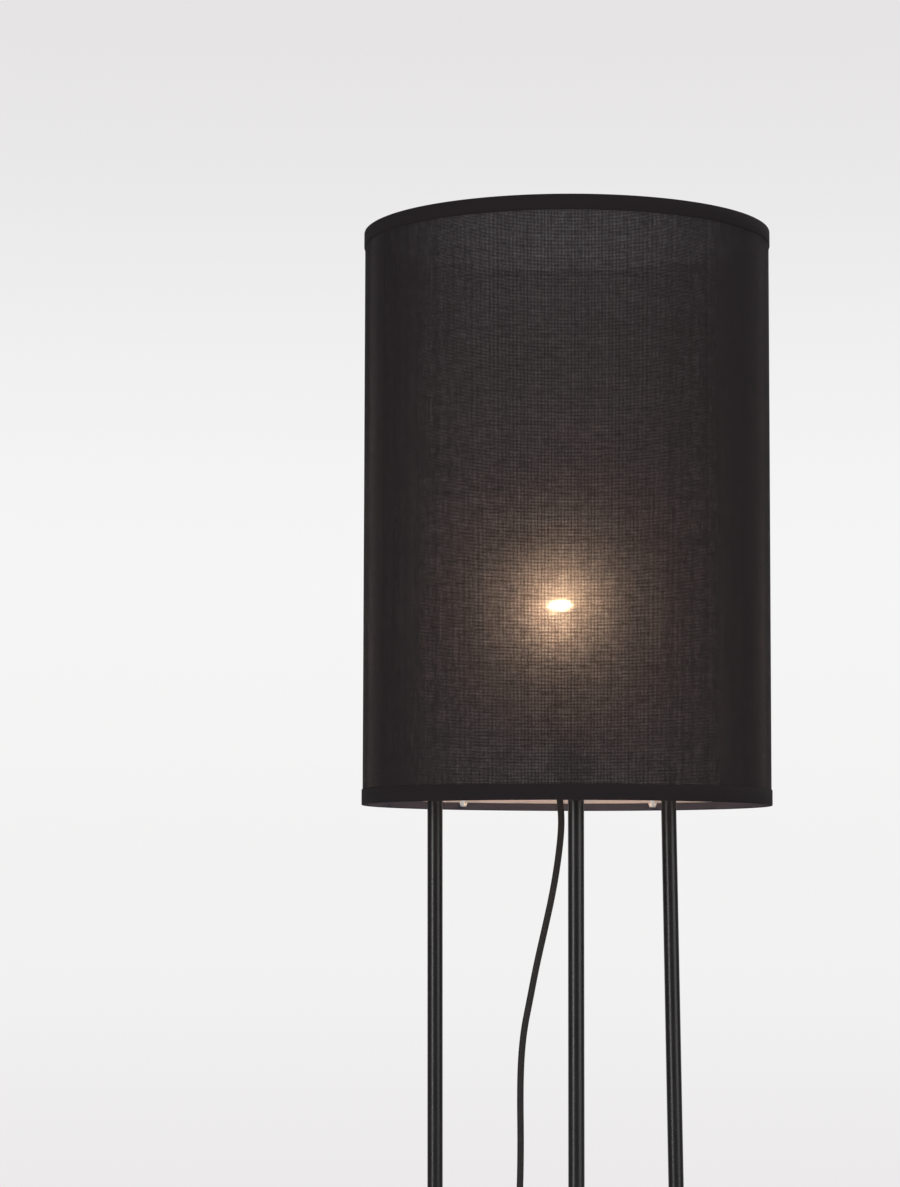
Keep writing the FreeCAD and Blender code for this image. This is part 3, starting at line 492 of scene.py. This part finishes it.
# each lobe is mixed over those before it, so that it gets its own share of the light
def filmMaterial(name, sizes):
    material, tree = startMaterial(name)
    place = addNode(tree, "TexCoord").outputs["Object"]
    cloud = addNode(tree, "TexNoise", {"Vector": place, "Scale": 1 / sizes["cloud"],
                                       "Detail": sizes["cloudDetail"]}).outputs[0]
    outside = addNode(tree, "NewGeometry").outputs["Backfacing"]
    white, through = linear(sizes["inside"]), linear(sizes["through"])
    tone = addNode(tree, "Mix", {0: outside, 6: linear(sizes["glued"]), 7: white},
                   data_type="RGBA").outputs[2]
    result = addNode(tree, "BsdfDiffuse", {"Color": tone, "Roughness": sizes["backRoughness"]}).outputs[0]
    parts = [(sizes["diffusing"], addNode(tree, "BsdfTranslucent", {"Color": white}))]
    parts += [(part, addNode(tree, "BsdfRefraction", {"Color": through, "Roughness": rough, "IOR": ior},
                             distribution="GGX")) for part, rough, ior in sizes["lobes"]]
    parts.append((sizes["straight"], addNode(tree, "BsdfTransparent", {"Color": through})))
    whole = 1 - sum(part for part, lobe in parts)
    for part, lobe in parts:
        whole += part
        share = addNode(tree, "MapRange", {"Value": cloud,
                                           "To Min": (1 - sizes["cloudSpread"]) * part / whole,
                                           "To Max": (1 + sizes["cloudSpread"]) * part / whole}).outputs[0]
        result = addNode(tree, "MixShader", {0: share, 1: result, 2: lobe.outputs[0]}).outputs[0]
    addNode(tree, "OutputMaterial", {"Surface": result})
    return material


# lays a UV map in metres round a drum: along its girth and up its height
def wrapCloth(bm, girthRadius):
    layer = bm.loops.layers.uv.new("cloth")
    for face in bm.faces:
        middle = face.calc_center_median()
        centreAngle = math.atan2(middle.x, -middle.y)
        for loop in face.loops:
            angle = math.atan2(loop.vert.co.x, -loop.vert.co.y)
            angle += fullTurn * round((centreAngle - angle) / fullTurn)
            loop[layer].uv = (angle * girthRadius, loop.vert.co.z)


# how far a place lies aside from a heading, both in degrees from the front towards +X
def degreesAside(place, heading):
    azimuth = math.degrees(math.atan2(place.x, -place.y))
    return abs((azimuth - heading + 180) % 360 - 180)


# an upright drum wall of one layer
def drumWall(radius, low, high, segments, rows):
    bm = bmesh.new()
    ring = bmesh.ops.create_circle(bm, radius=radius, segments=segments)["verts"]
    bmesh.ops.translate(bm, verts=ring, vec=(0, 0, low))
    edges = list(bm.edges)
    for row in range(rows):
        grown = bmesh.ops.extrude_edge_only(bm, edges=edges)["geom"]
        edges = [g for g in grown if isinstance(g, bmesh.types.BMEdge)]
        raised = [g for g in grown if isinstance(g, bmesh.types.BMVert)]
        bmesh.ops.translate(bm, verts=raised, vec=(0, 0, (high - low) / rows))
    bmesh.ops.recalc_face_normals(bm, faces=bm.faces)
    return bm


shadeCotton = clothMaterial("black cotton plain weave", clothSizes, True)
# the tape is woven finer than the shade's cloth; the inside of its fold is painted paler, painted light that
# stands in for the light of the bulb and lamps falling on it
trimCotton = clothMaterial("black cotton tape", {**clothSizes, "pitch": 0.6 * mm, "wander": 0.1 * mm}, False)
trimFoldPaintedLight = clothMaterial("inside of cotton tape with painted light", {**clothSizes, "pitch": 0.6 * mm,
                                                          "dark": "#34333a", "light": "#47464e"}, False)
shadeFilm = filmMaterial("frosted white film", filmSizes)

# the cloth
s = shadeSizes
clothLow, clothHigh = shadeLow + s["edge"], shadeHigh - s["edge"]
bm = drumWall(s["radius"], clothLow, clothHigh, s["segments"], s["rows"])
bmesh.ops.solidify(bm, geom=bm.faces[:], thickness=s["clothWall"])
bmesh.ops.recalc_face_normals(bm, faces=bm.faces)
wrapCloth(bm, s["radius"])
cloth = addPiece("shade_cloth", bm, "shade", shadeCotton, "shade_cotton", "shade_fabric")

# the upper layer of the lap is a strip of the same cloth
lapMiddle, lapWidth, lapProud = s["clothLap"]
bm = drumWall(s["radius"] + lapProud, clothLow, clothHigh, s["lapSegments"], s["rows"])
apart = [vert for vert in bm.verts if degreesAside(vert.co, lapMiddle) > lapWidth / 2]
bmesh.ops.delete(bm, geom=apart, context="VERTS")
bmesh.ops.solidify(bm, geom=bm.faces[:], thickness=s["clothLapWall"])
bmesh.ops.recalc_face_normals(bm, faces=bm.faces)
wrapCloth(bm, s["radius"])
addPiece("cloth_lap", bm, "shade", shadeCotton, "shade_cotton")

# the white film that the cloth is glued to
bm = drumWall(s["radius"] - s["filmInset"], clothLow, clothHigh, s["segments"], s["rows"])
addPiece("shade_lining", bm, "shade", shadeFilm, "shade_film", "shade_film")

# each trim is a tape folded over the rim: an outer band, a rounded edge and an inner fold
band = s["radius"] + s["trimProud"]
foldInner = s["radius"] - s["foldInset"]
tapeMiddle, tapeWidth, tapeProud = s["tapeLap"]
for name, node, edgeZ, way, tall in (("trim_low", "trim_bottom", shadeLow, 1, s["lowTrimHeight"]),
                                     ("trim_high", "trim_top", shadeHigh, -1, s["highTrimHeight"])):
    rise = [(band - s["trimWall"], tall), (band - s["bandTop"][0], tall), (band, tall - s["bandTop"][1])]
    rise += [(band + across * mm, up * mm) for across, up in s["bandRound"]]
    rise += [(foldInner + across * mm, up * mm) for across, up in s["foldRound"]]
    rise += [(foldInner, s["foldHeight"]), (foldInner + s["foldWall"], s["foldHeight"]),
             (foldInner + s["foldWall"], s["hollowFold"][1]),
             (foldInner + s["hollowFold"][0], s["hollowFloor"]),
             (band - s["hollowBand"][0], s["hollowFloor"]), (band - s["trimWall"], s["hollowBand"][1])]
    bm = lathe([(r, edgeZ + way * z) for r, z in rise], s["trimSegments"])
    for vert in bm.verts:
        reach = math.hypot(vert.co.x, vert.co.y)
        # the lower fold is cut down where a wire leaves it
        aside = min(degreesAside(vert.co, notch) for notch in s["notches"])
        inFold = way > 0 and reach < foldInner + 2 * s["foldWall"]
        if inFold and vert.co.z > edgeZ + s["notchFloor"] and aside < s["notchHalfAngle"]:
            vert.co.z = edgeZ + s["notchFloor"]
        # the tape's end lies over its beginning
        if degreesAside(vert.co, tapeMiddle) < tapeWidth / 2 and reach > band - s["tapeLapDepth"]:
            vert.co.x *= 1 + tapeProud / reach
            vert.co.y *= 1 + tapeProud / reach
    wrapCloth(bm, s["radius"])
    # the faces of the inner fold take the paler tape, whose paleness is painted light
    for face in bm.faces:
        middle = face.calc_center_median()
        face.material_index = 1 if math.hypot(middle.x, middle.y) < foldInner + s["foldWall"] else 0
    trim = addPiece(name, bm, "shade", trimCotton, "trim_cotton", node, sharpOver=60)
    trim.data.materials.append(trimFoldPaintedLight)
print("shade made")

# the filament glows most in its middle; its strength stays a constant, so that the light is sampled well
filamentSizes = {"winding": 1.2 * mm, "windingDark": 0.7, "endHeat": 0.01, "strength": 19500.0,
                 "tint": (1.0, 0.62, 0.37, 1.0)}
# drawn tungsten at working heat, warm white
material, tree = startMaterial("lit tungsten")
place = addNode(tree, "TexCoord").outputs["Object"]
winding = addNode(tree, "TexWave", {"Vector": place, "Scale": 1 / filamentSizes["winding"]})
shine = addNode(tree, "MapRange", {"Value": winding.outputs["Fac"], "To Min": filamentSizes["windingDark"],
                                   "To Max": 1.0})
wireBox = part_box("filament")
middle = (wireBox[0] + wireBox[1]) / 2
away = addNode(tree, "VectorMath", {0: place, 1: tuple(middle)}, operation="DISTANCE").outputs["Value"]
heatShare = addNode(tree, "MapRange", {"Value": away, "From Max": (wireBox[1].x - wireBox[0].x) / 2,
                                       "To Min": 1.0, "To Max": filamentSizes["endHeat"]},
                    interpolation_type="SMOOTHSTEP").outputs[0]
shine = addNode(tree, "Math", {0: shine.outputs[0], 1: heatShare}, operation="MULTIPLY")
tone = addNode(tree, "Mix", {0: shine.outputs[0], 6: (0, 0, 0, 1), 7: filamentSizes["tint"]},
               data_type="RGBA")
heat = addNode(tree, "Emission", {"Color": tone.outputs[2], "Strength": filamentSizes["strength"]})
addNode(tree, "OutputMaterial", {"Surface": heat.outputs[0]})
litTungsten = material


glassSizes = {"ior": 1.5, "ripple": 25 * mm, "rippleDepth": 0.3 * mm, "rippleShare": 0.3, "roughness": 0.03}


# clear blown glass: lets light straight through and shows only its sheen
def clearGlass(name, tint, veil):
    material, tree = startMaterial(name)
    place = addNode(tree, "TexCoord").outputs["Object"]
    ripple = addNode(tree, "TexNoise", {"Vector": place, "Scale": 1 / glassSizes["ripple"]})
    bump = addNode(tree, "Bump", {"Height": ripple.outputs[0], "Strength": glassSizes["rippleShare"],
                                  "Distance": glassSizes["rippleDepth"]})
    edge = addNode(tree, "Fresnel", {"IOR": glassSizes["ior"], "Normal": bump.outputs[0]}).outputs[0]
    share = addNode(tree, "Math", {0: edge, 1: veil}, operation="ADD").outputs[0]
    clear = addNode(tree, "BsdfTransparent", {"Color": linear(tint)}).outputs[0]
    sheen = addNode(tree, "BsdfAnisotropic", {"Color": linear("#ffffff"),
                                              "Roughness": glassSizes["roughness"],
                                              "Normal": bump.outputs[0]}).outputs[0]
    result = addNode(tree, "MixShader", {0: share, 1: clear, 2: sheen}).outputs[0]
    addNode(tree, "OutputMaterial", {"Surface": result})
    return material


bulbGlass = clearGlass("clear blown glass", "#fafbfb", 0.0)
stemGlass = clearGlass("clear stem glass", "#eef2f1", 0.05)

# every node that keeps its own mesh gets its finish
plain = {
    "base_felt": feltBlack, "base_plate": powderCoat, "base_screws": zincSteel, "leg_front": powderCoat,
    "leg_right": powderCoat, "leg_left": powderCoat, "leg_bottom_plugs": zincSteel,
    "leg_top_plugs": zincSteel, "leg_top_screws": zincSteel, "star_bracket": powderCoat,
    "shade_pins": powderCoat, "nipple": zincSteel, "nipple_nut": zincSteel, "cord_grip": holderBlack,
    "stem_sleeve": powderCoat, "holder_cap": holderBlack, "holder_skirt": holderBlack,
    "holder_core": steatite, "screw_shell": drawnBrass, "centre_contact": drawnBrass,
    "bulb_contact": solderTin, "bulb_insulator": vitriteBlack, "bulb_cap": capAluminium,
    "bulb_glass": bulbGlass, "bulb_stem": stemGlass, "filament": litTungsten, "lead_wires": molybdenumWire,
    "bottom_ring": whiteWire, "top_ring": whiteWire, "shade_spider": whiteWire,
    "switch_lower_shell": sparkBlack, "switch_upper_shell": sparkBlack, "switch_reliefs": softBlack,
    "switch_screws": zincSteel, "switch_block": blockPhenolic, "switch_button": glossBlack,
    "switch_spring": zincSteel, "coil_tie": hookTape, "plug_body": softBlack, "plug_pins": nickelPins,
}
for node, material in plain.items():
    dressNode(node, material)
print("bulb lit and nodes dressed")

# soft ribbed sleeves over the two cord reliefs of the foot switch, each with its tip some way along the cord;
# offsets run from the end of the plain relief towards the housing
sleeveSizes = {
    "tip": -9 * mm, "end": 12.5 * mm, "bore": 3.3 * mm, "steps": 48,
    "tipRadius": 3.52 * mm, "midRadius": 3.83 * mm, "taper": 0.03,
    "tipRound": (0.1 * mm, 0.3 * mm),
    "ribs": [-6 * mm, -3 * mm, 0, 3 * mm, 6 * mm, 9 * mm], "ribWidth": 1.5 * mm, "ribProud": 0.38 * mm,
    # a rib's section: along it in half widths, and its height as a share of the whole
    "ribSection": [(-1, 0), (-0.7, 0.85), (-0.35, 1), (0.35, 1), (0.7, 0.85), (1, 0)],
}


def sleeveRadius(offset, sizes):
    if offset < 0:
        return sizes["midRadius"] + (sizes["midRadius"] - sizes["tipRadius"]) * offset / -sizes["tip"]
    return sizes["midRadius"] + sizes["taper"] * offset


s = sleeveSizes
rise = [(s["bore"], s["tip"]), (s["tipRadius"] - s["tipRound"][0], s["tip"]),
        (s["tipRadius"], s["tip"] + s["tipRound"][1])]
for offset in s["ribs"]:
    for side, proud in s["ribSection"]:
        height = offset + side * s["ribWidth"] / 2
        rise.append((sleeveRadius(height, s) + proud * s["ribProud"], height))
rise += [(sleeveRadius(s["end"], s), s["end"]), (s["bore"], s["end"])]
low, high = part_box("switch_reliefs")
sleeves = bmesh.new()
for tip, way in ((low.y, 1), (high.y, -1)):
    bm = lathe(rise, s["steps"])
    onSide = Matrix.Rotation(math.radians(-90 * way), 3, "X")
    bmesh.ops.rotate(bm, verts=bm.verts, cent=(0, 0, 0), matrix=onSide)
    bmesh.ops.translate(bm, verts=bm.verts, vec=((low.x + high.x) / 2, tip, (low.z + high.z) / 2))
    mesh = bpy.data.meshes.new("sleeve")
    bm.to_mesh(mesh)
    bm.free()
    sleeves.from_mesh(mesh)
    bpy.data.meshes.remove(mesh)
addPiece("relief_sleeves", sleeves, "stand", softBlack, "soft_black", sharpOver=50)
print("switch sleeves made")

# the spring under the button, which shortens by the button's travel towards its foot, gets a mesh of its own
low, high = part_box("switch_spring")
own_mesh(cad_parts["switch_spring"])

print("scene done")
